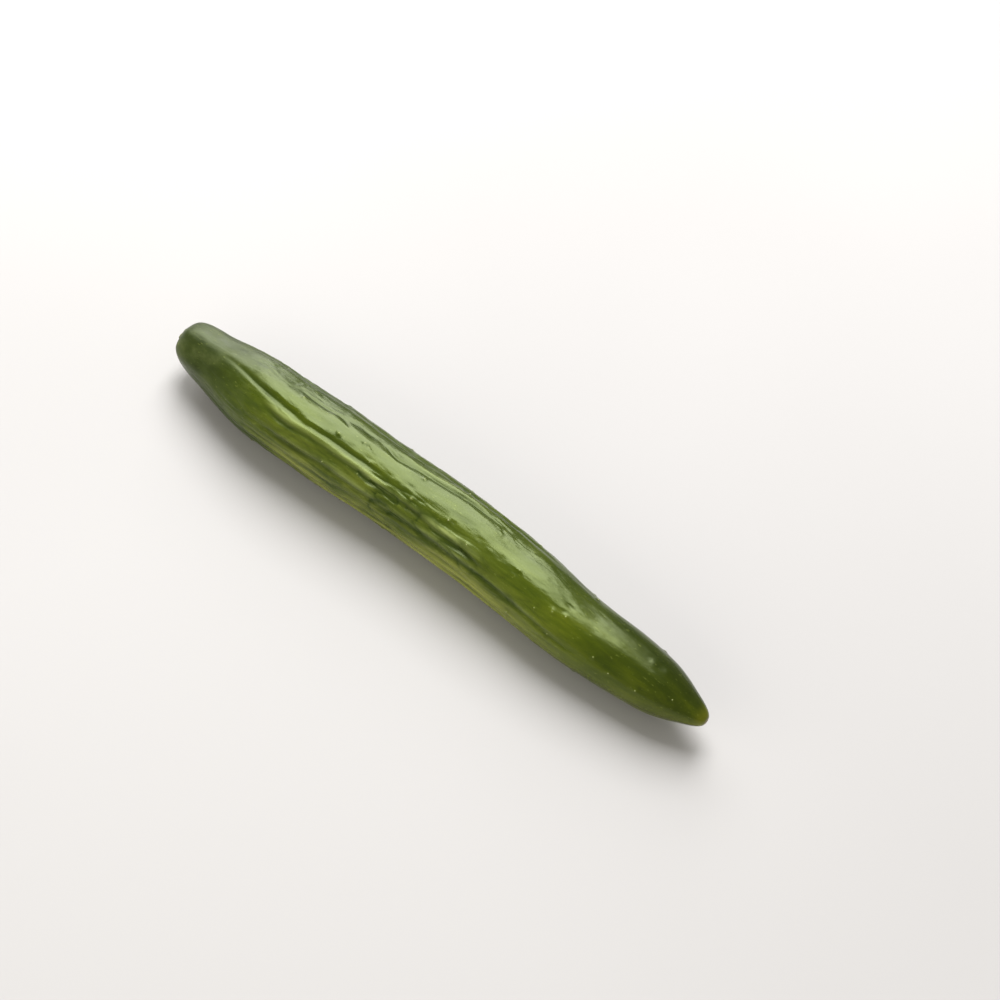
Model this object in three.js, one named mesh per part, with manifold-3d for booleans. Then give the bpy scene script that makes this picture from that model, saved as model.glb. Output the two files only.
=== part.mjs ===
// A slender ridged cucumber, lying on its side. Lengths are in millimetres and angles in degrees.
// +X runs along the fruit from the stem end to the blossom end, and +Z is up.
// The origin is at the middle of the outer box, on the surface that the fruit rests on.
// Angles round the fruit start at +Y (its back) and turn over the top (90) to the front (180).
import * as THREE from 'three';
import { mergeVertices } from 'three/addons/utils/BufferGeometryUtils.js';
import Module from 'manifold-3d';

// Driving dimensions

const RESTING_FLAT = 0.6; // how deep the underside is pressed flat where the fruit lies
const COLUMNS = 60; // facets round the girth
const RING_GAP = 4.2; // from ring to ring along the body
const RING_GAP_AT_ENDS = 1.1;
const END_ZONE = 24; // length over which the rings draw together towards each end

// Half of the lengthwise outline: place along the fruit and radius, from the stem end to the blossom end
const OUTLINE = [
  [-98.8, 0], [-98.9, 1.3], [-99.3, 2.6], [-99.5, 3.9], [-98.9, 5.3], [-97.4, 6.6], [-94.8, 7.6], [-91, 8.35],
  [-86, 9.0], [-80, 10.1], [-74, 11.15], [-67, 12.05], [-59, 12.35], [-50, 12.35], [-40, 12.45],
  [-30, 12.35], [-20, 12.2], [-10, 12.05], [0, 12.1], [10, 12.15], [20, 11.95], [30, 11.65],
  [40, 11.5], [50, 10.95], [60, 10.4], [70, 10.0], [78, 9.3], [84.5, 8.35], [89.5, 6.85],
  [93.5, 5.25], [96.6, 4.0], [98.8, 2.85], [100.0, 1.8], [100.4, 0.9], [100.3, 0],
];

// How far the middle line swings towards the back, by place along the fruit
const SWING = [
  [-100, 4.2], [-80, 2.6], [-60, 1.6], [-35, 1.8], [-5, 2.4],
  [15, 2.15], [35, 0.95], [55, -0.8], [75, -0.35], [100, -0.65],
];

// How far the middle line lifts: it follows the thickness, so that the underside lies level
const LIFT = [
  [-100, -0.6], [-80, -0.6], [-60, -0.1], [-40, 0.15], [-20, -0.15], [0, -0.3],
  [20, -0.35], [40, -0.8], [60, -1.6], [80, -2.2], [100, -1.9],
];

const LOBES = 3; // the section is a softly three-cornered round
const LOBE_ANGLE = 33; // one of its corners
const LOBE_DEPTH = 0.034; // share of the radius
const NECK_SIDES = 6; // at the stem end it turns into a soft hexagon
const NECK_ANGLE = 107;
const NECK_DEPTH = 0.026;

// The furrows of the front: depth, half width in degrees, and a route of places and angles
const FRONT_FURROWS = [
  { size: 0.5, width: 3.4, route: [[-58, 74], [-48, 79], [-40, 78], [-31, 71]] },
  { size: 0.6, width: 3.4, route: [[-27, 74], [-18, 82], [-8, 77], [6, 73], [15, 71], [30, 68]] },
  { size: 0.6, width: 4.2, route: [[-86, 105], [-72, 107], [-60, 114], [-48, 119], [-26, 118], [-9, 121]] },
  { size: 0.65, width: 4.2, route: [[-66, 129], [-50, 136], [-38, 134], [-14, 136], [8, 141], [34, 146]] },
  { size: 0.4, width: 3, route: [[-58, 151], [-46, 144], [-36, 141], [-16, 145]] },
  { size: 0.6, width: 4.5, route: [[-68, 155], [-44, 158], [-30, 154], [-12, 159], [16, 155], [66, 158]] },
  { size: 0.4, width: 4.5, route: [[-74, 172], [-40, 176], [-10, 171], [30, 176]] },
  { size: 0.5, width: 5.5, route: [[-88, 190], [-50, 194], [-10, 190], [44, 193]] },
];

// The crests that stand up between them: height, half width in degrees and route
const FRONT_CRESTS = [
  { size: 0.3, width: 5, route: [[-66, 121], [-50, 127], [-30, 128], [-12, 130], [12, 132], [32, 131]] },
  { size: 0.26, width: 4.2, route: [[-58, 153], [-44, 150], [-34, 148], [-22, 150], [8, 150], [52, 152]] },
  { size: 0.2, width: 3.4, route: [[-26, 67], [-12, 69], [8, 64], [26, 60]] },
];

// The furrows of the other sides: angle, depth, half width in degrees, and where each starts and ends
const OTHER_FURROWS = [
  { angle: 210, depth: 0.4, width: 5, from: -56, to: 66 },
  { angle: 228, depth: 0.45, width: 5.5, from: -84, to: 30 },
  { angle: 245, depth: 0.35, width: 5, from: -70, to: 50 },
  { angle: 300, depth: 0.4, width: 5, from: -84, to: 44 },
  { angle: 318, depth: 0.55, width: 5.5, from: -74, to: 26 },
  { angle: 336, depth: 0.4, width: 5, from: -66, to: 58 },
  { angle: 354, depth: 0.6, width: 5.5, from: -90, to: 34 },
  { angle: 12, depth: 0.45, width: 4.5, from: -70, to: 50 },
  { angle: 30, depth: 0.55, width: 5.5, from: -86, to: 30 },
  { angle: 51, depth: 0.5, width: 4.5, from: -90, to: 44 },
];

const LUMP_HEIGHT = 0.22; // the low swellings of the ridged part
const UNDERSIDE = 270; // the angle on which the fruit lies
const UNDERSIDE_REACH = 28; // how far from it the skin lies calm and free of warts

// The warts that show best, on the front and the top: place along the fruit, angle and size
const FRONT_WARTS = [
  [-52, 87, 1.0], [-36, 103, 1.0], [-35, 149, 0.8], [-28, 92, 0.9], [-24, 136, 0.8], [-23, 113, 0.8],
  [-7, 85, 0.9], [-6, 122, 1.3], [7, 117, 0.9], [16, 129, 0.9], [33, 111, 0.8], [36, 173, 1.0],
  [43, 138, 0.8], [48, 125, 1.1], [52, 118, 0.9], [50, 157, 0.8], [65, 143, 0.9], [71, 152, 0.8],
  [80, 152, 0.9], [90, 128, 0.7],
];
const OTHER_WARTS = 34; // the ones all round the rest of the fruit
// Half of a wart's outline, from its root in the flesh to its top: radius and height over the skin
const WART_OUTLINE = [[0, -0.7], [1.5, -0.45], [0.8, 0.2], [0, 0.42]];

const STUB_RADIUS = 2.6; // the short rest of the stalk
const STUB_TOP = -100.6; // where it was picked
const STUB_ROOT = -95;
const STUB_RIBS = 5;

const SKIN = { color: 0x2f4d12, roughness: 0.32, metalness: 0 };

const wasm = await Module();
wasm.setup();

const radians = THREE.MathUtils.degToRad;
const ramp = THREE.MathUtils.smoothstep;

// A repeatable draw between 0 and 1
function draw(index) {
  const value = Math.sin(index * 12.9898) * 43758.5453;
  return value - Math.floor(value);
}

// A smooth curve through stations, each a place along the fruit and a value
function along(stations, x) {
  const last = stations.length - 2;
  let index = stations.findIndex(([place]) => place > x) - 1;
  if (index < 0) index = x < stations[0][0] ? 0 : last;
  const slope = (i) => {
    const [before, after] = [stations[Math.max(i - 1, 0)], stations[Math.min(i + 1, last + 1)]];
    return (after[1] - before[1]) / (after[0] - before[0]);
  };
  const [x0, y0] = stations[index];
  const [x1, y1] = stations[index + 1];
  const span = x1 - x0;
  const t = THREE.MathUtils.clamp((x - x0) / span, 0, 1);
  const [t2, t3] = [t * t, t * t * t];
  return (2 * t3 - 3 * t2 + 1) * y0 + (t3 - 2 * t2 + t) * span * slope(index)
    + (3 * t2 - 2 * t3) * y1 + (t3 - t2) * span * slope(index + 1);
}

// Between -180 and 180
function turnBetween(angle, from) {
  return THREE.MathUtils.euclideanModulo(angle - from + 180, 360) - 180;
}

// Depth of a furrow, or height of a crest, this far from its two ends and this many degrees beside its middle
function lineAt(size, width, fromStart, toEnd, aside, phase) {
  const length = ramp(fromStart, 0, 14) * ramp(toEnd, 0, 20);
  const uneven = 0.75 + 0.25 * Math.sin(fromStart / 5.5 + phase);
  return size * length * uneven * Math.exp(-((aside / width) ** 2));
}

function routed(lines, x, angle) {
  let total = 0;
  lines.forEach(({ size, width, route }, index) => {
    const [start, end] = [route[0][0], route[route.length - 1][0]];
    const aside = turnBetween(angle, along(route, x) + 0.7 * Math.sin(x / 3.1 + 2.1 * index));
    total += lineAt(size, width, x - start, end - x, aside, 1.9 * index);
  });
  return total;
}

function furrowDepth(x, angle) {
  let depth = routed(FRONT_FURROWS, x, angle);
  OTHER_FURROWS.forEach((furrow, index) => {
    const slow = 2.6 * Math.sin(x / 21 + 0.8) + 1.5 * Math.sin(x / 12.5 + 2.4 * index);
    const aside = turnBetween(angle, furrow.angle + slow + 0.8 * Math.sin(x / 4.7 + 1.3 * index));
    depth += lineAt(furrow.depth, furrow.width, x - furrow.from, furrow.to - x, aside, 1.7 * index);
  });
  return depth;
}

function lump(x, angle) {
  const turn = radians(angle);
  const ridged = ramp(x, -94, -66) * (1 - ramp(x, 20, 74));
  const calm = Math.exp(-((turnBetween(angle, UNDERSIDE) / UNDERSIDE_REACH) ** 2));
  const slow = Math.sin(x / 15 + 2 * Math.cos(turn) + 0.6);
  const quick = Math.sin(x / 5.6 + 2.3 * Math.sin(2 * turn + 0.4));
  return LUMP_HEIGHT * (0.25 + 0.75 * ridged) * (1 - 0.85 * calm) * (0.6 * slow + 0.4 * quick);
}

// The skin, raised and furrowed, at a place on the smooth outline and an angle
function skinPoint(x, radius, angle) {
  const neck = 1 - ramp(x, -84, -56);
  const round = LOBE_DEPTH * (1 - 0.6 * neck) * Math.cos(LOBES * radians(angle - LOBE_ANGLE));
  const section = 1 + round + NECK_DEPTH * neck * Math.cos(NECK_SIDES * radians(angle - NECK_ANGLE));
  const full = Math.min(1, radius / 8); // the relief dies out over the two end caps
  const relief = lump(x, angle) + routed(FRONT_CRESTS, x, angle) - furrowDepth(x, angle);
  const skin = radius * section + full * relief;
  const turn = radians(angle);
  return new THREE.Vector3(
    x,
    along(SWING, x) + skin * Math.cos(turn),
    along(LIFT, x) + skin * Math.sin(turn),
  );
}

const outline = new THREE.SplineCurve(OUTLINE.map(([x, radius]) => new THREE.Vector2(x, radius)));
outline.arcLengthDivisions = 2000;

// Rings stand closer together towards the two ends
function ringPoints() {
  const length = outline.getLength();
  const points = [];
  let place = 0;
  while (place < length - 0.5) {
    points.push(outline.getPointAt(place / length));
    const fromEnd = Math.min(place, length - place);
    place += RING_GAP_AT_ENDS + (RING_GAP - RING_GAP_AT_ENDS) * ramp(fromEnd, 0, END_ZONE);
  }
  points.push(outline.getPointAt(1));
  points[0].y = 0;
  points[points.length - 1].y = 0;
  return points;
}

// The grown body: a turned form whose every point is then moved to the ridged skin
function bodyGeometry() {
  const rings = ringPoints().map((point) => new THREE.Vector2(point.y, point.x));
  const turned = new THREE.LatheGeometry(rings, COLUMNS);
  const position = turned.getAttribute('position');
  for (let index = 0; index < position.count; index += 1) {
    const column = Math.floor(index / rings.length) % COLUMNS;
    const ring = rings[index % rings.length];
    const point = skinPoint(ring.y, ring.x, (360 * column) / COLUMNS);
    position.setXYZ(index, point.x, point.y, point.z);
  }
  return turned;
}

// The smooth outline's radius at a place along the fruit, away from the two end faces
function radiusAt(x) {
  let [low, high] = [0, 1];
  for (let step = 0; step < 24; step += 1) {
    const middle = (low + high) / 2;
    if (outline.getPoint(middle).x < x) low = middle;
    else high = middle;
  }
  return outline.getPoint(low).y;
}

// Spread evenly by steps that never repeat, with those left out that would crowd the front ones or the flat
function otherWarts() {
  const warts = [];
  for (let index = 1; warts.length < OTHER_WARTS; index += 1) {
    const x = -80 + 168 * ((index * 0.7548777) % 1) + 3 * draw(index);
    const angle = (360 * ((index * 0.5698403) % 1) + 10 * draw(index + 50)) % 360;
    const onFront = angle > 60 && angle < 205;
    const onFlat = Math.abs(angle - UNDERSIDE) < UNDERSIDE_REACH;
    if (!onFront && !onFlat) warts.push([x, angle, 0.75 + 0.4 * draw(index + 90)]);
  }
  return warts;
}

// A low dome with its root in the flesh, standing along the skin's own normal
function wartGeometry([x, angle, size]) {
  const radius = radiusAt(x);
  const top = skinPoint(x, radius, angle);
  const forward = skinPoint(x + 0.5, radiusAt(x + 0.5), angle).sub(top);
  const round = skinPoint(x, radius, angle + 2).sub(top);
  const normal = round.cross(forward).normalize();
  const wartOutline = WART_OUTLINE.map(([reach, height]) => new THREE.Vector2(reach, height));
  const dome = new THREE.LatheGeometry(wartOutline, 6);
  dome.scale(size, size, size);
  dome.applyQuaternion(new THREE.Quaternion().setFromUnitVectors(new THREE.Vector3(0, 1, 0), normal));
  dome.translate(top.x, top.y, top.z);
  return dome;
}

// The picked stalk: a short ribbed peg, sunk well into the stem end
function stubGeometry() {
  const ring = [];
  const steps = STUB_RIBS * 4;
  for (let step = 0; step < steps; step += 1) {
    const turn = (2 * Math.PI * step) / steps;
    const reach = STUB_RADIUS * (1 + 0.1 * Math.cos(STUB_RIBS * turn));
    ring.push(new THREE.Vector2(reach * Math.cos(turn), reach * Math.sin(turn)));
  }
  const peg = new THREE.ExtrudeGeometry(new THREE.Shape(ring), {
    depth: STUB_ROOT - STUB_TOP,
    bevelEnabled: false,
  });
  peg.rotateY(Math.PI / 2);
  peg.translate(STUB_TOP, along(SWING, STUB_TOP), along(LIFT, STUB_TOP));
  return peg;
}

// A block that takes the lowest part of the underside off, level
function floorGeometry(height) {
  const block = new THREE.BoxGeometry(240, 60, 10);
  block.translate(0, 0, height - 5);
  return block;
}

function toSolid(geometry) {
  const bare = geometry.index ? geometry.toNonIndexed() : geometry.clone();
  bare.deleteAttribute('normal');
  bare.deleteAttribute('uv');
  const merged = mergeVertices(bare, 1e-4);
  const corners = merged.index.array;
  const kept = [];
  for (let i = 0; i < corners.length; i += 3) {
    const [a, b, c] = [corners[i], corners[i + 1], corners[i + 2]];
    if (a !== b && b !== c && c !== a) kept.push(a, b, c);
  }
  return new wasm.Manifold(new wasm.Mesh({
    numProp: 3,
    vertProperties: new Float32Array(merged.getAttribute('position').array),
    triVerts: new Uint32Array(kept),
  }));
}

function toGeometry(solid) {
  const mesh = solid.getMesh();
  const geometry = new THREE.BufferGeometry();
  geometry.setAttribute('position', new THREE.BufferAttribute(new Float32Array(mesh.vertProperties), 3));
  geometry.setIndex(new THREE.BufferAttribute(new Uint32Array(mesh.triVerts), 1));
  geometry.computeVertexNormals();
  return geometry;
}

// The whole fruit as one solid, moved so that it rests on z = 0 with its outer box centred
function cucumberGeometry() {
  let fruit = toSolid(bodyGeometry());
  const lowest = fruit.boundingBox().min[2];
  fruit = fruit.subtract(toSolid(floorGeometry(lowest + RESTING_FLAT)));
  [...FRONT_WARTS, ...otherWarts()].forEach((wart) => {
    fruit = fruit.add(toSolid(wartGeometry(wart)));
  });
  fruit = fruit.add(toSolid(stubGeometry()));
  const geometry = toGeometry(fruit);
  geometry.computeBoundingBox();
  const { min, max } = geometry.boundingBox;
  geometry.translate(-(min.x + max.x) / 2, -(min.y + max.y) / 2, -min.z);
  return geometry;
}

const cucumber = new THREE.Mesh(cucumberGeometry(), new THREE.MeshStandardMaterial(SKIN));
cucumber.name = 'cucumber';

const fruit = new THREE.Group();
fruit.add(cucumber);

export default fruit;
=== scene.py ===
import math

import bpy
import numpy as np
from mathutils import Matrix, Vector


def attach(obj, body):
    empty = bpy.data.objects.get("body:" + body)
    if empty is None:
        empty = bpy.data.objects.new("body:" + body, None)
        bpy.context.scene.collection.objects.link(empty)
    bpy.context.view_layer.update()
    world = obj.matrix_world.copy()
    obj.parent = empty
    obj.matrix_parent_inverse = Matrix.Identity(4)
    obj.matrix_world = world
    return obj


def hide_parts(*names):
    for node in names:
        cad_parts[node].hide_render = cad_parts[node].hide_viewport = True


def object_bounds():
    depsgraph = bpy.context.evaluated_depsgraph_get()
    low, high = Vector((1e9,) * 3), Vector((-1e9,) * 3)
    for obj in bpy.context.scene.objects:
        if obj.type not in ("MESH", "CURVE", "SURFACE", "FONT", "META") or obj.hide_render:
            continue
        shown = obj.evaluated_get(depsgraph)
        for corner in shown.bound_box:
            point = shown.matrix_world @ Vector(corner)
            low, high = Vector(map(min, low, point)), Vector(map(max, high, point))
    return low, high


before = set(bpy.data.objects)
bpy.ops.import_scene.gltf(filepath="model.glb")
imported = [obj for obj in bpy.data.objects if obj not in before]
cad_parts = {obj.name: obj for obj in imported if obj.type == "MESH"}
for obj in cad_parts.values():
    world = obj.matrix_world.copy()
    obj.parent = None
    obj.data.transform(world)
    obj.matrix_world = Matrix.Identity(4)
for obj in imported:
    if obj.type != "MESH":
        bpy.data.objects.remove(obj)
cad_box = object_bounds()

# A slender ridged cucumber, lying on its side. Lengths are in millimetres and angles in degrees.
# Its form is the solid's own formula, drawn finer, with the creases, dents and picked ends of a close look.
# Places along the fruit run from -100 at the stem end to 100 at the blossom end.
# Angles round the fruit start at its back and turn over the top (90) to the front (180).

MM = 0.001
SEED = 11

# From the formula's own middle line to the frame's origin, which is at the middle of the solid's outer box
TO_FRAME = np.array([0.1011, -1.4671, 12.296])

COLUMNS = 288  # points round the girth
RING_GAP = 0.65  # from ring to ring along the body
RING_GAP_AT_ENDS = 0.3
END_ZONE = 14.0  # length over which the rings draw together towards each end

# Half of the lengthwise outline: place along the fruit and radius, from the stem end to the blossom end
OUTLINE = np.array([
    (-98.8, 0), (-98.9, 1.3), (-99.3, 2.6), (-99.5, 3.9), (-98.9, 5.3), (-97.4, 6.6), (-94.8, 7.6),
    (-91, 8.35), (-86, 9.0), (-80, 10.1), (-74, 11.15), (-67, 12.05), (-59, 12.35), (-50, 12.35),
    (-40, 12.45), (-30, 12.35), (-20, 12.2), (-10, 12.05), (0, 12.1), (10, 12.15), (20, 11.95), (30, 11.65),
    (40, 11.5), (50, 10.95), (60, 10.4), (70, 10.0), (78, 9.3), (84.5, 8.35), (89.5, 6.85),
    (93.5, 5.25), (96.6, 4.0), (98.8, 2.85), (100.0, 1.8), (100.4, 0.9), (100.3, 0)])

# How far the middle line swings towards the back, by place along the fruit
SWING = np.array([
    (-100, 4.2), (-80, 2.6), (-60, 1.6), (-35, 1.8), (-5, 2.4),
    (15, 2.15), (35, 0.95), (55, -0.8), (75, -0.35), (100, -0.65)])

# How far the middle line lifts
LIFT = np.array([
    (-100, -0.6), (-80, -0.6), (-60, -0.1), (-40, 0.15), (-20, -0.15), (0, -0.3),
    (20, -0.35), (40, -0.8), (60, -1.6), (80, -2.2), (100, -1.9)])

LOBES = 3  # the section is a softly three-cornered round
LOBE_ANGLE = 33
LOBE_DEPTH = 0.034  # share of the radius
NECK_SIDES = 6  # at the stem end it turns into a soft hexagon
NECK_ANGLE = 107
NECK_DEPTH = 0.026

# The front furrows: depth, half width in degrees, and a route of places and angles
FRONT_FURROWS = [
    (0.5, 3.4, [(-58, 74), (-48, 79), (-40, 78), (-31, 71)]),
    (0.6, 3.4, [(-27, 74), (-18, 82), (-8, 77), (6, 73), (15, 71), (30, 68)]),
    (0.6, 4.2, [(-86, 105), (-72, 107), (-60, 114), (-48, 119), (-26, 118), (-9, 121)]),
    (0.65, 4.2, [(-66, 129), (-50, 136), (-38, 134), (-14, 136), (8, 141), (34, 146)]),
    (0.4, 3, [(-58, 151), (-46, 144), (-36, 141), (-16, 145)]),
    (0.6, 4.5, [(-68, 155), (-44, 158), (-30, 154), (-12, 159), (16, 155), (66, 158)]),
    (0.4, 4.5, [(-74, 172), (-40, 176), (-10, 171), (30, 176)]),
    (0.5, 5.5, [(-88, 190), (-50, 194), (-10, 190), (44, 193)])]

# The crests between them: height, half width in degrees and route
FRONT_CRESTS = [
    (0.3, 5, [(-66, 121), (-50, 127), (-30, 128), (-12, 130), (12, 132), (32, 131)]),
    (0.26, 4.2, [(-58, 153), (-44, 150), (-34, 148), (-22, 150), (8, 150), (52, 152)]),
    (0.2, 3.4, [(-26, 67), (-12, 69), (8, 64), (26, 60)])]

# The other furrows: angle, depth, half width in degrees, and where each starts and ends
OTHER_FURROWS = [
    (210, 0.4, 5, -56, 66), (228, 0.45, 5.5, -84, 30), (245, 0.35, 5, -70, 50), (300, 0.4, 5, -84, 44),
    (318, 0.55, 5.5, -74, 26), (336, 0.4, 5, -66, 58), (354, 0.6, 5.5, -90, 34), (12, 0.45, 4.5, -70, 50),
    (30, 0.55, 5.5, -86, 30), (51, 0.5, 4.5, -90, 44)]

LUMP_HEIGHT = 0.22  # the low swellings of the ridged part
UNDERSIDE = 270  # the angle on which the fruit lies
UNDERSIDE_REACH = 28  # how far from it the skin lies calm and free of warts

# The warts that show best, on the front and the top: place, angle and size
FRONT_WARTS = [
    (-52, 87, 1.0), (-36, 103, 1.0), (-35, 149, 0.8), (-28, 92, 0.9), (-24, 136, 0.8), (-23, 113, 0.8),
    (-7, 85, 0.9), (-6, 122, 1.3), (7, 117, 0.9), (16, 129, 0.9), (33, 111, 0.8), (36, 173, 1.0),
    (43, 138, 0.8), (48, 125, 1.1), (52, 118, 0.9), (50, 157, 0.8), (65, 143, 0.9), (71, 152, 0.8),
    (80, 152, 0.9), (90, 128, 0.7)]
OTHER_WARTS = 34  # the ones all round the rest of the fruit
WART_HEIGHT = 0.3
WART_REACH = 0.85

# Dents beside the ridges: place, angle, half length, half breadth, depth, and how far they slant across
DENTS = [
    (-3, 136, 3.4, 0.9, 0.42, 0), (17, 141, 3.0, 0.7, 0.32, 0), (-8, 108, 1.8, 0.7, 0.16, 0),
    (51, 101, 1.5, 0.7, 0.22, 0.1), (69, 134, 3.0, 1.1, 0.2, 0), (-51, 116, 2.6, 0.8, 0.2, 0),
    (-20, 79, 2.4, 0.6, 0.28, 0.37), (-37, 81, 2.0, 0.8, 0.26, 0.33), (-26.5, 94, 2.0, 0.42, 0.2, 0.5),
    (8, 93, 1.6, 0.8, 0.1, 0), (50, 157, 1.6, 0.8, 0.16, 0), (36, 170, 1.4, 0.9, 0.18, 0),
    (47, 70, 1.8, 1.6, 0.12, 0), (-74, 178, 1.2, 0.8, 0.15, 0), (11, 158, 4.0, 0.9, 0.25, 0.1),
    (-47, 157, 5.0, 0.8, 0.28, 0), (-24, 116, 2.0, 0.6, 0.18, 0), (41, 68, 3.0, 0.8, 0.14, 0.2),
    (-50, 72, 10, 2.1, 0.36, 0), (-29, 74, 8, 1.7, 0.3, 0.04)]
FULL_DENT_SHADE_DEPTH = 0.45  # the depth at which a dent has its full painted shade

# Low swellings in the smooth blossom part: place, angle, half breadth and height
SWELLINGS = [(79.8, 88, 1.3, 0.14), (84.4, 84, 1.2, 0.14), (63, 109, 2.4, 0.08)]

# The rests of the spines: how many sides each has, and its rings' shares of its radius, from the foot up
SPINE_SIDES = 8
SPINE_SHARES = [1.15, 1.0, 0.72, 0.35]

# The picked stalk
STUB_RADIUS = 2.6
STUB_TOP = -100.6
STUB_RIBS = 5
STUB_COLUMNS = 80
STUB_ROOT = -95.5
STUB_RIM = -100.58
STUB_FACE = -100.3
# Its rings, from the root over the rim to the middle of the torn face: place and share of the radius
STUB_RINGS = [
    (STUB_ROOT, 1.0), (-99.4, 1.02), (-100.2, 1.0), (-100.5, 0.95), (STUB_RIM, 0.86), (-100.5, 0.7),
    (-100.28, 0.52), (-100.4, 0.34), (STUB_FACE, 0.16)]
TORN_FROM = 4  # the ring where the torn face starts

# Colours of the skin, as linear red, green and blue, some of them at stops of a pattern
RIDGED_GREENS = [
    (0.30, (0.016, 0.030, 0.0005)), (0.44, (0.038, 0.060, 0.0008)),
    (0.56, (0.066, 0.094, 0.001)), (0.70, (0.120, 0.150, 0.006))]
STEM_GREENS = [
    (0.36, (0.013, 0.020, 0.0035)), (0.5, (0.025, 0.036, 0.0075)), (0.68, (0.066, 0.080, 0.025))]
BLOSSOM_GREENS = [
    (0.36, (0.017, 0.027, 0.0003)), (0.5, (0.030, 0.042, 0.0005)), (0.62, (0.058, 0.072, 0.001))]
# Painted shade on the strip behind the top, partly the skin's own deeper green
UPPER_PAINTED_SHADE_GREEN = (0.004, 0.008, 0.0003)
# Painted light low on the front, partly the skin's own paler, yellower colour
LOW_SKIN_AND_PAINTED_LIGHT_GREEN = (0.315, 0.33, 0.066)
# Painted highlight along the crests
CREST_HIGHLIGHT_GREEN = (0.27, 0.32, 0.10)
# Painted shade in the furrows and creases
FURROW_SHADE_GREEN = (0.021, 0.038, 0.0004)
# Painted shade in pits beside warts and in dents
PIT_SHADE_GREEN = (0.014, 0.025, 0.0008)
FLECK_GREEN = (0.24, 0.28, 0.06)
WART_GREEN = (0.20, 0.24, 0.05)
SCAR_RING_GREEN = (0.19, 0.19, 0.008)
SCAR_BROWN = (0.22, 0.17, 0.06)
SKIN_IOR = 1.46
SKIN_REFLECTION_TINT = (0.86, 1.0, 0.5, 1)

SPINE_TONES = [(0.35, (0.24, 0.27, 0.09)), (0.65, (0.46, 0.48, 0.24))]
STALK_TONES = [(0.3, (0.05, 0.06, 0.012)), (0.55, (0.13, 0.14, 0.035)), (0.75, (0.26, 0.22, 0.09))]
FLOOR_TONES = [(0.4, (0.505, 0.493, 0.488)), (0.6, (0.525, 0.513, 0.508))]

# The floor in metres: how far it reaches, and how far it lies below the fruit
FLOOR_REACH = 3
FLOOR_DROP = 0.00003

# The camera, placed from the formula's own middle line, with the way it looks and what is up in its picture
CAMERA_PLACE = (216.6, -389.4, 580.2)
CAMERA_FORWARD = (-0.2794, 0.5541, -0.7842)
CAMERA_UP = (-0.5459, 0.5802, 0.6045)
CAMERA_LENS = 89.38
CAMERA_SENSOR = 36


def ramp(x, low, high):
    """0 up to low, 1 from high on, and a smooth rise between them."""
    t = np.clip((x - low) / (high - low), 0, 1)
    return t * t * (3 - 2 * t)


def draw(index):
    """A repeatable draw between 0 and 1."""
    value = math.sin(index * 12.9898) * 43758.5453
    return value - math.floor(value)


def turn_between(angle, start):
    """Between -180 and 180."""
    return (angle - start + 180) % 360 - 180


def bell(distance, reach):
    """1 in the middle, fading out on both sides."""
    return np.exp(-((distance / reach) ** 2))


def along(stations, x):
    """A smooth curve through stations, each a place along the fruit and a value."""
    places, values = stations[:, 0], stations[:, 1]
    order = np.arange(len(places))
    before, after = np.maximum(order - 1, 0), np.minimum(order + 1, len(places) - 1)
    slopes = (values[after] - values[before]) / (places[after] - places[before])
    i = np.clip(np.searchsorted(places, x, side="right") - 1, 0, len(places) - 2)
    span = places[i + 1] - places[i]
    t = np.clip((x - places[i]) / span, 0, 1)
    return ((2 * t**3 - 3 * t**2 + 1) * values[i] + (t**3 - 2 * t**2 + t) * span * slopes[i]
            + (3 * t**2 - 2 * t**3) * values[i + 1] + (t**3 - t**2) * span * slopes[i + 1])


def outline_points(t):
    """Points of the smooth curve through OUTLINE, t from 0 at the stem end to 1 at the blossom end."""
    last = len(OUTLINE) - 1
    i = np.minimum((t * last).astype(int), last - 1)
    w = (t * last - i)[:, None]
    p0, p1 = OUTLINE[np.maximum(i - 1, 0)], OUTLINE[i]
    p2, p3 = OUTLINE[i + 1], OUTLINE[np.minimum(i + 2, last)]
    v0, v1 = (p2 - p0) / 2, (p3 - p1) / 2
    return (2 * p1 - 2 * p2 + v0 + v1) * w**3 + (3 * p2 - 3 * p1 - 2 * v0 - v1) * w**2 + v0 * w + p1


def rings():
    """Place along the fruit and smooth radius of each ring, closer together towards the two ends."""
    fine = outline_points(np.linspace(0, 1, 6000))
    length = np.concatenate([[0], np.cumsum(np.hypot(*np.diff(fine, axis=0).T))])
    places, place = [], 0.0
    while place < length[-1] - RING_GAP_AT_ENDS / 2:
        places.append(place)
        from_end = min(place, length[-1] - place)
        place += RING_GAP_AT_ENDS + (RING_GAP - RING_GAP_AT_ENDS) * ramp(from_end, 0, END_ZONE)
    places.append(length[-1])
    x = np.interp(places, length, fine[:, 0])
    radius = np.interp(places, length, fine[:, 1])
    radius[[0, -1]] = 0
    return x, radius


def radius_at(x):
    """The smooth outline's radius at a place along the fruit, away from the two end faces."""
    points = outline_points(np.linspace(0.1, 0.95, 4000))
    return np.interp(x, points[:, 0], points[:, 1])


def line_at(size, width, from_start, to_end, aside, phase):
    """Depth of a furrow, or height of a crest, aside degrees from its middle and this far from its ends."""
    length = ramp(from_start, 0, 14) * ramp(to_end, 0, 20)
    uneven = 0.75 + 0.25 * np.sin(from_start / 5.5 + phase)
    return size * length * uneven * bell(aside, width)


def routed(lines, x, angle):
    total = np.zeros(np.broadcast(x, angle).shape)
    for index, (size, width, route) in enumerate(lines):
        route = np.array(route, float)
        aside = turn_between(angle, along(route, x) + 0.7 * np.sin(x / 3.1 + 2.1 * index))
        total += line_at(size, width, x - route[0, 0], route[-1, 0] - x, aside, 1.9 * index)
    return total


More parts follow.
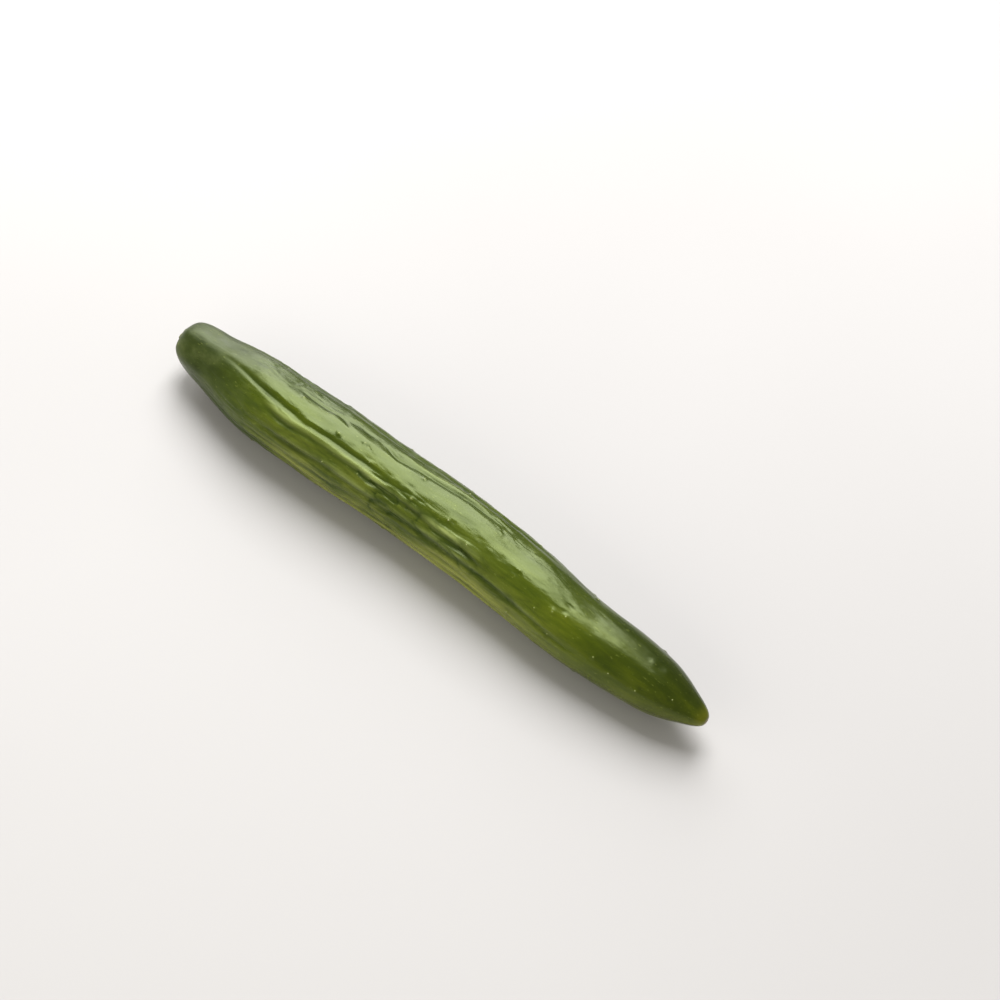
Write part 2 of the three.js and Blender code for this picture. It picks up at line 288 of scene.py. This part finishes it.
def furrow_depth(x, angle):
    total = routed(FRONT_FURROWS, x, angle)
    for index, (middle, depth, width, start, end) in enumerate(OTHER_FURROWS):
        slow = 2.6 * np.sin(x / 21 + 0.8) + 1.5 * np.sin(x / 12.5 + 2.4 * index)
        aside = turn_between(angle, middle + slow + 0.8 * np.sin(x / 4.7 + 1.3 * index))
        total += line_at(depth, width, x - start, end - x, aside, 1.7 * index)
    return total


def ridged_part(x):
    """1 in the ridged part, fading out towards the stem end and over the smooth blossom part."""
    return ramp(x, -94, -66) * (1 - ramp(x, 20, 74))


def calm(angle):
    """1 on the underside, fading out on both sides of it."""
    return bell(turn_between(angle, UNDERSIDE), UNDERSIDE_REACH)


def lump(x, angle):
    turn = np.radians(angle)
    slow = np.sin(x / 15 + 2 * np.cos(turn) + 0.6)
    quick = np.sin(x / 5.6 + 2.3 * np.sin(2 * turn + 0.4))
    height = LUMP_HEIGHT * (0.25 + 0.75 * ridged_part(x)) * (1 - 0.85 * calm(angle))
    return height * (0.6 * slow + 0.4 * quick)


def ripple(x, angle, length, count, salt):
    """Seeded smooth noise from -1 to 1, in cells of this length and this many of them round the fruit."""
    draws = np.random.default_rng(SEED + salt).uniform(-1, 1, (int(260 / length) + 4, count))
    along_cells = (x + 125) / length
    round_cells = (angle % 360) / 360 * count
    i, j = np.floor(along_cells).astype(int), np.floor(round_cells).astype(int)
    u, v = along_cells - i, round_cells - j
    u, v = u * u * (3 - 2 * u), v * v * (3 - 2 * v)
    i, j = np.broadcast_arrays(i, j)
    j, k = j % count, (j + 1) % count
    near = draws[i, j] * (1 - v) + draws[i, k] * v
    far = draws[i + 1, j] * (1 - v) + draws[i + 1, k] * v
    return near * (1 - u) + far * u


def crease_depth(x, angle):
    """Thin lines that run along the fruit, waver and run into each other, deepest where it is ridged."""
    drift = angle + 5 * ripple(x, angle, 8, 20, 1)
    lines = 1 - np.abs(ripple(x, drift, 8, 44, 2))
    finer = 1 - np.abs(ripple(x, drift, 4.5, 84, 3))
    strong = np.clip(0.5 + 0.7 * ripple(x, angle, 16, 12, 4), 0, 1) * (0.12 + 0.88 * ridged_part(x))
    # The top is smoother, and more of it in the blossom half
    blossom_half = ramp(x, -10, 20)
    smooth_middle, smooth_reach = 98 + 12 * blossom_half, 20 + 12 * blossom_half
    smooth_top = (0.8 + 0.1 * blossom_half) * bell(turn_between(angle, smooth_middle), smooth_reach)
    front = 1 + 0.6 * bell(turn_between(angle, 140), 24)
    depth = 0.22 * lines**8 + 0.12 * finer**7
    return depth * strong * front * (1 - 0.8 * calm(angle)) * (1 - smooth_top)


def small_relief(x, angle):
    swelling = 0.1 * ripple(x, angle, 9, 16, 5) + 0.09 * ripple(x, angle, 4.6, 38, 6)
    fine = 0.035 * ripple(x, angle, 2.2, 74, 7)
    return (swelling + fine) * (0.35 + 0.65 * ridged_part(x)) * (1 - 0.8 * calm(angle)) + 0.06


def dent_depth(x, angle, radius):
    depth = np.zeros(np.broadcast(x, angle).shape)
    for place, middle, half_length, half_breadth, deep, slant in DENTS:
        u = (x - place) / half_length
        v = (np.radians(turn_between(angle, middle)) * radius - slant * (x - place)) / half_breadth
        depth += deep * np.exp(-(u * u + v * v))
    return depth


def swelling_height(x, angle, radius):
    height = np.zeros(np.broadcast(x, angle).shape)
    for place, middle, half_breadth, high in SWELLINGS:
        u = (x - place) / half_breadth
        v = np.radians(turn_between(angle, middle)) * radius / half_breadth
        height += high * np.exp(-(u * u + v * v))
    return height


def other_warts():
    """Spread evenly by steps that never repeat, without any that would crowd the front ones or the flat."""
    warts, index = [], 1
    while len(warts) < OTHER_WARTS:
        x = -80 + 168 * ((index * 0.7548777) % 1) + 3 * draw(index)
        angle = (360 * ((index * 0.5698403) % 1) + 10 * draw(index + 50)) % 360
        on_front = 60 < angle < 205
        on_flat = abs(angle - UNDERSIDE) < UNDERSIDE_REACH
        if not on_front and not on_flat:
            warts.append((x, angle, 0.75 + 0.4 * draw(index + 90)))
        index += 1
    return warts


WARTS = FRONT_WARTS + other_warts()


def wart_relief(x, angle, radius):
    """Domes with a shallow pit beside each, and how much of a wart or pit each point has."""
    height = np.zeros(np.broadcast(x, angle).shape)
    dome_share, pit_share = np.zeros_like(height), np.zeros_like(height)
    for index, (place, middle, size) in enumerate(WARTS):
        u = x - place
        v = np.radians(turn_between(angle, middle)) * radius
        dome = np.exp(-((u / (WART_REACH * size)) ** 2 + (v / (0.9 * WART_REACH * size)) ** 2))
        lean = 2 * math.pi * draw(index + 200)
        pit_u, pit_v = u - 1.7 * size * math.cos(lean), v - 1.5 * size * math.sin(lean)
        pit = np.exp(-((pit_u / (1.1 * size)) ** 2 + (pit_v / (0.75 * size)) ** 2))
        deep = 0.05 + 0.14 * draw(index + 300) ** 2
        height += WART_HEIGHT * size * dome - deep * pit
        dome_share = np.maximum(dome_share, dome)
        pit_share = np.maximum(pit_share, pit * deep / 0.3)
    return height, dome_share, pit_share


def skin_points(x, radius, angle, relief):
    """Points of the skin, with fine relief added to the solid's own form."""
    neck = 1 - ramp(x, -84, -56)
    round_part = LOBE_DEPTH * (1 - 0.6 * neck) * np.cos(LOBES * np.radians(angle - LOBE_ANGLE))
    section = 1 + round_part + NECK_DEPTH * neck * np.cos(NECK_SIDES * np.radians(angle - NECK_ANGLE))
    full = np.minimum(1, radius / 8)  # the relief dies out over the two end caps
    form = lump(x, angle) + routed(FRONT_CRESTS, x, angle) - furrow_depth(x, angle)
    skin = radius * section + full * (form + relief)
    turn = np.radians(angle)
    y = along(SWING, x) + skin * np.cos(turn)
    z = along(LIFT, x) + skin * np.sin(turn)
    return np.stack(np.broadcast_arrays(x + 0 * y, y, z), -1)


def mesh_object(name, points, faces, smooth=True):
    mesh = bpy.data.meshes.new(name)
    mesh.from_pydata([tuple(p) for p in points], [], faces)
    mesh.update()
    for polygon in mesh.polygons:
        polygon.use_smooth = smooth
    piece = bpy.data.objects.new(name, mesh)
    bpy.context.scene.collection.objects.link(piece)
    return piece


def in_box(points):
    """Flat below, and nowhere outside the solid's box."""
    return np.clip(points, cad_box[0], cad_box[1])


def tube_faces(ring_count, columns):
    """Faces of rings between two pole points: pole, then the rings, then the other pole."""
    faces = []
    for j in range(columns):
        k = (j + 1) % columns
        faces.append((0, 1 + k, 1 + j))
        for i in range(ring_count - 1):
            a, b = 1 + i * columns, 1 + (i + 1) * columns
            faces.append((a + j, a + k, b + k, b + j))
        end = 1 + (ring_count - 1) * columns
        faces.append((end + j, end + k, end + columns))
    return faces


def low_skin_and_painted_light(x, angle):
    """How near the skin is to the paler, yellower strip low on the front, painted light from below and
    partly the skin's own colour.
    """
    turned = bell(turn_between(angle, 190), 44)
    return turned * ramp(x, -72, -36) * (1 - 0.95 * ramp(x, 8, 66))


def upper_painted_shade(angle):
    """How near the skin is to the strip just behind the top, darkened by a painted shade and partly by its
    own deeper green.
    """
    return bell(turn_between(angle, 70), 42)


def paint(skin, name, values, at_stem_pole=0, at_blossom_pole=0):
    """A named number at each point of the skin, for its material: the two poles and a grid between them."""
    numbers = np.concatenate([[at_stem_pole], values.ravel(), [at_blossom_pole]])
    attribute = skin.data.attributes.new(name, "FLOAT", "POINT")
    attribute.data.foreach_set("value", numbers.astype(np.float32))


def skin_mesh():
    x, radius = rings()
    angle = np.arange(COLUMNS) * 360 / COLUMNS
    grid_x, grid_radius, grid_angle = x[1:-1, None], radius[1:-1, None], angle[None, :]
    warts, domes, pits = wart_relief(grid_x, grid_angle, np.maximum(grid_radius, 4))
    creases = crease_depth(grid_x, grid_angle)
    dents = dent_depth(grid_x, grid_angle, grid_radius)
    relief = warts - creases - dents + small_relief(grid_x, grid_angle)
    relief += swelling_height(grid_x, grid_angle, grid_radius)
    grid = skin_points(grid_x, grid_radius, grid_angle, relief) + TO_FRAME
    poles = skin_points(x[[0, -1]], np.zeros(2), np.zeros(2), 0) + TO_FRAME
    points = np.concatenate([poles[:1], grid.reshape(-1, 3), poles[1:]]) * MM
    skin = mesh_object("cucumber_skin", in_box(points), tube_faces(len(x) - 2, COLUMNS))
    shape = (len(x) - 2, COLUMNS)
    furrows = furrow_depth(grid_x, grid_angle) / 0.6 + creases / 0.3
    crests = routed(FRONT_CRESTS, grid_x, grid_angle) / 0.27
    paint(skin, "place", np.broadcast_to(grid_x / 100, shape), -0.99, 1.0)
    # Where the painted shade of furrows and creases goes; it also dulls them
    paint(skin, "furrow", np.clip(furrows, 0, 1.4))
    # Where the painted highlight of the crests goes
    paint(skin, "crest_highlight", crests**2)
    paint(skin, "wart", domes)
    # Where the painted shade of pits and dents goes
    paint(skin, "pit", np.maximum(pits, np.clip(dents / FULL_DENT_SHADE_DEPTH, 0, 1)))
    paint(skin, "girth", np.broadcast_to(grid_radius / 12, shape))
    paint(skin, "low_skin_and_painted_light", low_skin_and_painted_light(grid_x, grid_angle))
    paint(skin, "upper_painted_shade", np.broadcast_to(upper_painted_shade(grid_angle), shape))
    return skin


def wart_top(place, angle, size):
    """The top of a wart, and which way the skin faces there."""
    x = np.array([place, place + 0.3, place])
    turn = np.array([angle, angle, angle + 1.5])
    top, ahead, beside = skin_points(x, radius_at(x), turn, WART_HEIGHT * size) + TO_FRAME
    return Vector(top), Vector(beside - top).cross(Vector(ahead - top)).normalized()


def spine_points(index, top, normal):
    """Rings of a tiny blunt cone that leans a little, then the middle of its blunt end."""
    lean = Vector((draw(index + 400) - 0.5, draw(index + 410) - 0.5, 0)) * 0.7
    way = (normal + lean).normalized()
    side = way.orthogonal().normalized()
    other = way.cross(side)
    reach = 0.1 + 0.1 * draw(index + 420)
    tall = 0.06 + 0.12 * draw(index + 430)
    heights = [-0.25, 0.02, 0.8 * tall, tall]
    points = []
    for share, height in zip(SPINE_SHARES, heights):
        for step in range(SPINE_SIDES):
            turn = 2 * math.pi * step / SPINE_SIDES
            offset = side * math.cos(turn) + other * math.sin(turn)
            points.append((top + offset * reach * share + way * height) * MM)
    points.append((top + way * (tall * 0.9)) * MM)
    return points


def spine_faces(base):
    """The side, the blunt end and the foot of a cone whose first point has the number base."""
    faces = []
    last_ring = base + (len(SPINE_SHARES) - 1) * SPINE_SIDES
    for ring in range(base, last_ring, SPINE_SIDES):
        for step in range(SPINE_SIDES):
            a, b = ring + step, ring + (step + 1) % SPINE_SIDES
            faces.append((a, b, b + SPINE_SIDES, a + SPINE_SIDES))
    for step in range(SPINE_SIDES):
        faces.append((last_ring + step, last_ring + (step + 1) % SPINE_SIDES, last_ring + SPINE_SIDES))
    faces.append(tuple(base + step for step in reversed(range(SPINE_SIDES))))
    return faces


def spine_stub_mesh():
    """The pale rests of the spines, one on each wart."""
    points, faces = [], []
    for index, wart in enumerate(WARTS):
        faces += spine_faces(len(points))
        points += spine_points(index, *wart_top(*wart))
    return mesh_object("spine_stubs", in_box(points), faces)


def stalk_stub_mesh():
    """The picked stalk: a short ribbed peg with a torn, sunken face."""
    middle = np.array([0, along(SWING, STUB_TOP), along(LIFT, STUB_TOP)])
    points = [middle + [STUB_ROOT, 0, 0]]
    for level, (x, share) in enumerate(STUB_RINGS):
        for step in range(STUB_COLUMNS):
            turn = 2 * math.pi * step / STUB_COLUMNS
            ribs = 1 + 0.1 * math.cos(STUB_RIBS * turn) + 0.015 * math.sin(17 * turn)
            reach = STUB_RADIUS * share * (ribs if share > 0.6 else 1)
            torn = 0
            if level >= TORN_FROM:
                torn = 0.12 * math.sin(3 * turn + level) + 0.06 * math.sin(11 * turn + 2 * level)
            y, z = reach * math.cos(turn), reach * math.sin(turn)
            points.append(middle + [max(x + torn, STUB_RIM), y, z])
    points.append(middle + [STUB_FACE, 0, 0])
    faces = [tuple(reversed(face)) for face in tube_faces(len(STUB_RINGS), STUB_COLUMNS)]
    return mesh_object("stalk_stub", in_box((np.array(points) + TO_FRAME) * MM), faces)


class Nodes:
    """A material's node tree, with short ways to add and join nodes."""

    def __init__(self, name):
        self.material = bpy.data.materials.new(name)
        self.material.use_nodes = True
        self.tree = self.material.node_tree
        self.shader = self.tree.nodes["Principled BSDF"]

    def add(self, kind, **settings):
        node = self.tree.nodes.new(kind)
        for key, value in settings.items():
            setattr(node, key, value)
        return node

    def join(self, source, target):
        self.tree.links.new(source, target)

    def finish(self, colour, roughness, normal):
        self.join(colour, self.shader.inputs["Base Color"])
        self.join(roughness, self.shader.inputs["Roughness"])
        self.join(normal, self.shader.inputs["Normal"])
        return self.material

    def mark(self, name):
        """A number that was painted on the points of the mesh."""
        return self.add("ShaderNodeAttribute", attribute_name=name).outputs["Fac"]

    def noise(self, scale, stretch=(1, 1, 1), detail=4.0, roughness=0.55):
        coordinates = self.add("ShaderNodeTexCoord")
        mapping = self.add("ShaderNodeMapping")
        mapping.inputs["Scale"].default_value = stretch
        self.join(coordinates.outputs["Object"], mapping.inputs["Vector"])
        node = self.add("ShaderNodeTexNoise")
        node.inputs["Scale"].default_value = scale
        node.inputs["Detail"].default_value = detail
        node.inputs["Roughness"].default_value = roughness
        self.join(mapping.outputs["Vector"], node.inputs["Vector"])
        return node.outputs["Fac"]

    def math(self, operation, first, second, clamp=False):
        node = self.add("ShaderNodeMath", operation=operation, use_clamp=clamp)
        for socket, value in zip(node.inputs, (first, second)):
            if isinstance(value, (int, float)):
                socket.default_value = value
            else:
                self.join(value, socket)
        return node.outputs["Value"]

    def times(self, first, second, clamp=False):
        return self.math("MULTIPLY", first, second, clamp)

    def plus(self, first, second):
        return self.math("ADD", first, second)

    def fade(self, value, low, high, to_low=0.0, to_high=1.0):
        node = self.add("ShaderNodeMapRange", interpolation_type="SMOOTHSTEP")
        node.inputs["From Min"].default_value = low
        node.inputs["From Max"].default_value = high
        node.inputs["To Min"].default_value = to_low
        node.inputs["To Max"].default_value = to_high
        self.join(value, node.inputs["Value"])
        return node.outputs["Result"]

    def colours(self, value, stops):
        node = self.add("ShaderNodeValToRGB")
        elements = node.color_ramp.elements
        while len(elements) < len(stops):
            elements.new(0.5)
        for element, (position, colour) in zip(elements, stops):
            element.position = position
            element.color = (*colour, 1)
        self.join(value, node.inputs["Fac"])
        return node.outputs["Color"]

    def blend(self, share, first, second):
        """The first colour where share is 0 and the second, a socket or plain numbers, where it is 1."""
        node = self.add("ShaderNodeMix", data_type="RGBA")
        share_in, first_in, second_in = node.inputs[0], node.inputs[6], node.inputs[7]
        self.join(share, share_in)
        self.join(first, first_in)
        if isinstance(second, tuple):
            second_in.default_value = (*second, 1)
        else:
            self.join(second, second_in)
        return node.outputs[2]

    def bump(self, height, strength, distance, under=None):
        node = self.add("ShaderNodeBump")
        node.inputs["Strength"].default_value = strength
        node.inputs["Distance"].default_value = distance
        self.join(height, node.inputs["Height"])
        if under is not None:
            self.join(under, node.inputs["Normal"])
        return node.outputs["Normal"]


def broad_green(n, streaks, blotches, stem, tip):
    """The skin's green before its relief shows in it, with a painted shade behind the top and painted light
    low on the front.
    """
    tone = n.plus(n.times(n.noise(45, (0.35, 1, 1), detail=3), 0.6), n.times(streaks, 0.4))
    green = n.colours(tone, RIDGED_GREENS)
    # The stem end is a duller green with dry pale blotches, and the blossom end a plain olive one
    green = n.blend(n.times(stem, 0.85), green, n.colours(blotches, STEM_GREENS))
    green = n.blend(n.times(tip, 0.85), green, n.colours(tone, BLOSSOM_GREENS))
    # A painted shade darkens the strip behind the top, partly the skin's own deeper green.
    # The low front is paler and yellower, in patches, partly the skin's own colour and partly painted
    # light.
    green = n.blend(n.times(n.mark("upper_painted_shade"), 0.4), green, UPPER_PAINTED_SHADE_GREEN)
    low = n.times(n.mark("low_skin_and_painted_light"), n.fade(tone, 0.34, 0.6))
    return n.blend(n.times(low, 0.88), green, LOW_SKIN_AND_PAINTED_LIGHT_GREEN)


def relief_green(n, green, streaks, flecks, deep):
    """A painted highlight on crests and a painted shade in furrows, creases, pits and dents, with paler
    flecks and caps of warts.
    """
    # A painted highlight along the crests
    crest_highlight = n.times(n.mark("crest_highlight"), n.fade(streaks, 0.4, 0.6, 0.4, 0.95), clamp=True)
    green = n.blend(crest_highlight, green, CREST_HIGHLIGHT_GREEN)
    # A painted shade in furrows and creases
    green = n.blend(deep, green, FURROW_SHADE_GREEN)
    # A painted shade in pits beside warts and in dents
    green = n.blend(n.times(n.mark("pit"), 0.75, clamp=True), green, PIT_SHADE_GREEN)
    green = n.blend(n.times(n.fade(flecks, 0.64, 0.74), 0.25), green, FLECK_GREEN)
    return n.blend(n.fade(n.mark("wart"), 0.6, 0.98, 0.0, 0.6), green, WART_GREEN)


def scar_share(n, flecks):
    """Where the flower's dried scar is, at the tip, with a ragged edge."""
    ragged = n.plus(n.mark("girth"), n.times(flecks, 0.05))
    return n.times(n.fade(ragged, 0.09, 0.13, 1.0, 0.0), n.fade(n.mark("place"), 0.9, 0.97))


def scar_ring_share(n):
    """Where the yellow-green ring round the scar is."""
    return n.times(n.fade(n.mark("girth"), 0.14, 0.36, 1.0, 0.0), n.fade(n.mark("place"), 0.9, 0.97))


def skin_material():
    n = Nodes("cucumber_skin")
    streaks = n.noise(420, (0.13, 1, 1), detail=5, roughness=0.62)
    flecks = n.noise(1500, (0.35, 1, 1), detail=2)
    blotches = n.noise(150, (0.7, 1, 1), detail=5, roughness=0.65)
    stem = n.fade(n.mark("place"), -0.9, -0.5, 1.0, 0.0)
    tip = n.fade(n.mark("place"), 0.3, 0.95)
    # How deep the furrows and creases are: it lays on their painted shade and dulls them
    deep = n.times(n.mark("furrow"), 0.78, clamp=True)
    scar = scar_share(n, flecks)
    green = relief_green(n, broad_green(n, streaks, blotches, stem, tip), streaks, flecks, deep)
    green = n.blend(n.times(scar_ring_share(n), 0.5), green, SCAR_RING_GREEN)
    colour = n.blend(scar, green, SCAR_BROWN)
    # Waxy and fairly glossy, but dull in the blotches, in furrows and on the scar
    rough = n.fade(n.noise(240, (0.3, 1, 1), detail=3), 0.3, 0.7, 0.18, 0.28)
    rough = n.plus(rough, n.times(stem, n.fade(blotches, 0.35, 0.65, 0.1, 0.24)))
    rough = n.plus(rough, n.times(deep, 0.2))
    rough = n.math("SUBTRACT", rough, n.times(tip, 0.05))
    rough = n.math("MAXIMUM", rough, n.times(scar, 0.6))
    wrinkle = n.bump(n.noise(300, (0.22, 1, 1), detail=6, roughness=0.6), 0.38, 0.0004)
    grain = n.bump(n.noise(1300, (0.6, 1, 1), detail=3), 0.12, 0.0001, wrinkle)
    n.shader.inputs["IOR"].default_value = SKIN_IOR
    n.shader.inputs["Specular Tint"].default_value = SKIN_REFLECTION_TINT
    return n.finish(colour, rough, grain)


def spine_material():
    n = Nodes("spine_stub")
    tone = n.noise(2600, detail=2)
    rough = n.fade(tone, 0.3, 0.7, 0.35, 0.6)
    return n.finish(n.colours(tone, SPINE_TONES), rough, n.bump(tone, 0.3, 0.00005))


def stalk_material():
    n = Nodes("stalk_stub")
    fibres = n.noise(1400, (0.12, 1, 1), detail=5, roughness=0.65)
    rough = n.fade(fibres, 0.3, 0.7, 0.55, 0.85)
    return n.finish(n.colours(fibres, STALK_TONES), rough, n.bump(fibres, 0.6, 0.0003))


def floor_material():
    n = Nodes("pale_floor")
    n.join(n.colours(n.noise(3, detail=2), FLOOR_TONES), n.shader.inputs["Base Color"])
    n.shader.inputs["Roughness"].default_value = 0.9
    n.shader.inputs["Specular IOR Level"].default_value = 0.1
    return n.material


def dress(piece, material):
    piece.data.materials.append(material)
    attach(piece, "root")
    return piece


def add_floor():
    signs = [(-1, -1), (1, -1), (1, 1), (-1, 1)]
    corners = [(FLOOR_REACH * x, FLOOR_REACH * y, -FLOOR_DROP) for x, y in signs]
    floor = mesh_object("floor", corners, [(0, 1, 2, 3)], smooth=False)
    floor.data.materials.append(floor_material())


def aim(thing, place, forward, up):
    """Puts a camera or lamp at a place so that it looks along forward."""
    back = -forward.normalized()
    right = up.cross(back).normalized()
    true_up = back.cross(right)
    turn = Matrix((right, true_up, back)).transposed().to_4x4()
    thing.matrix_world = Matrix.Translation(place) @ turn


def add_camera():
    """The photograph's own view of the fruit: from its front, above, and turned a little."""
    data = bpy.data.cameras.new("camera")
    data.sensor_width = CAMERA_SENSOR
    data.lens = CAMERA_LENS
    camera = bpy.data.objects.new("camera", data)
    bpy.context.scene.collection.objects.link(camera)
    place = (Vector(CAMERA_PLACE) + Vector(TO_FRAME)) * MM
    aim(camera, place, Vector(CAMERA_FORWARD), Vector(CAMERA_UP))
    bpy.context.scene.camera = camera


def add_softbox(name, place, size, power, long_side, colour=(1, 1, 1), in_gloss=True):
    """A rectangular lamp that faces the fruit, with its second size measured along long_side."""
    data = bpy.data.lights.new(name, "AREA")
    data.shape = "RECTANGLE"
    data.size, data.size_y = size
    data.energy = power
    data.color = colour
    lamp = bpy.data.objects.new(name, data)
    lamp.visible_glossy = in_gloss
    bpy.context.scene.collection.objects.link(lamp)
    place = Vector(place)
    aim(lamp, place, -place, Vector(long_side))


def add_light():
    world = bpy.data.worlds.new("studio")
    world.use_nodes = True
    background = world.node_tree.nodes["Background"]
    background.inputs["Color"].default_value = (1.0, 0.98, 0.94, 1)
    background.inputs["Strength"].default_value = 0.36
    bpy.context.scene.world = world
    # The first one shows in the skin as the long pale band, and the last only lights the front
    add_softbox("softbox_above", (-0.39, 0.54, 1.05), (0.74, 1.14), 24, (0.32, -1, 0))
    add_softbox("softbox_left", (-0.9, 0.74, 0.52), (0.42, 1.15), 8, (0, -1, 0))
    add_softbox("softbox_front", (-0.3, -1.2, 0.45), (2.4, 0.9), 12, (0, 0, 1), (1, 0.97, 0.85), False)
    bpy.context.scene.view_settings.view_transform = "Standard"


add_camera()
add_light()
add_floor()
skin = dress(skin_mesh(), skin_material())
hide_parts("cucumber")
dress(spine_stub_mesh(), spine_material())
dress(stalk_stub_mesh(), stalk_material())
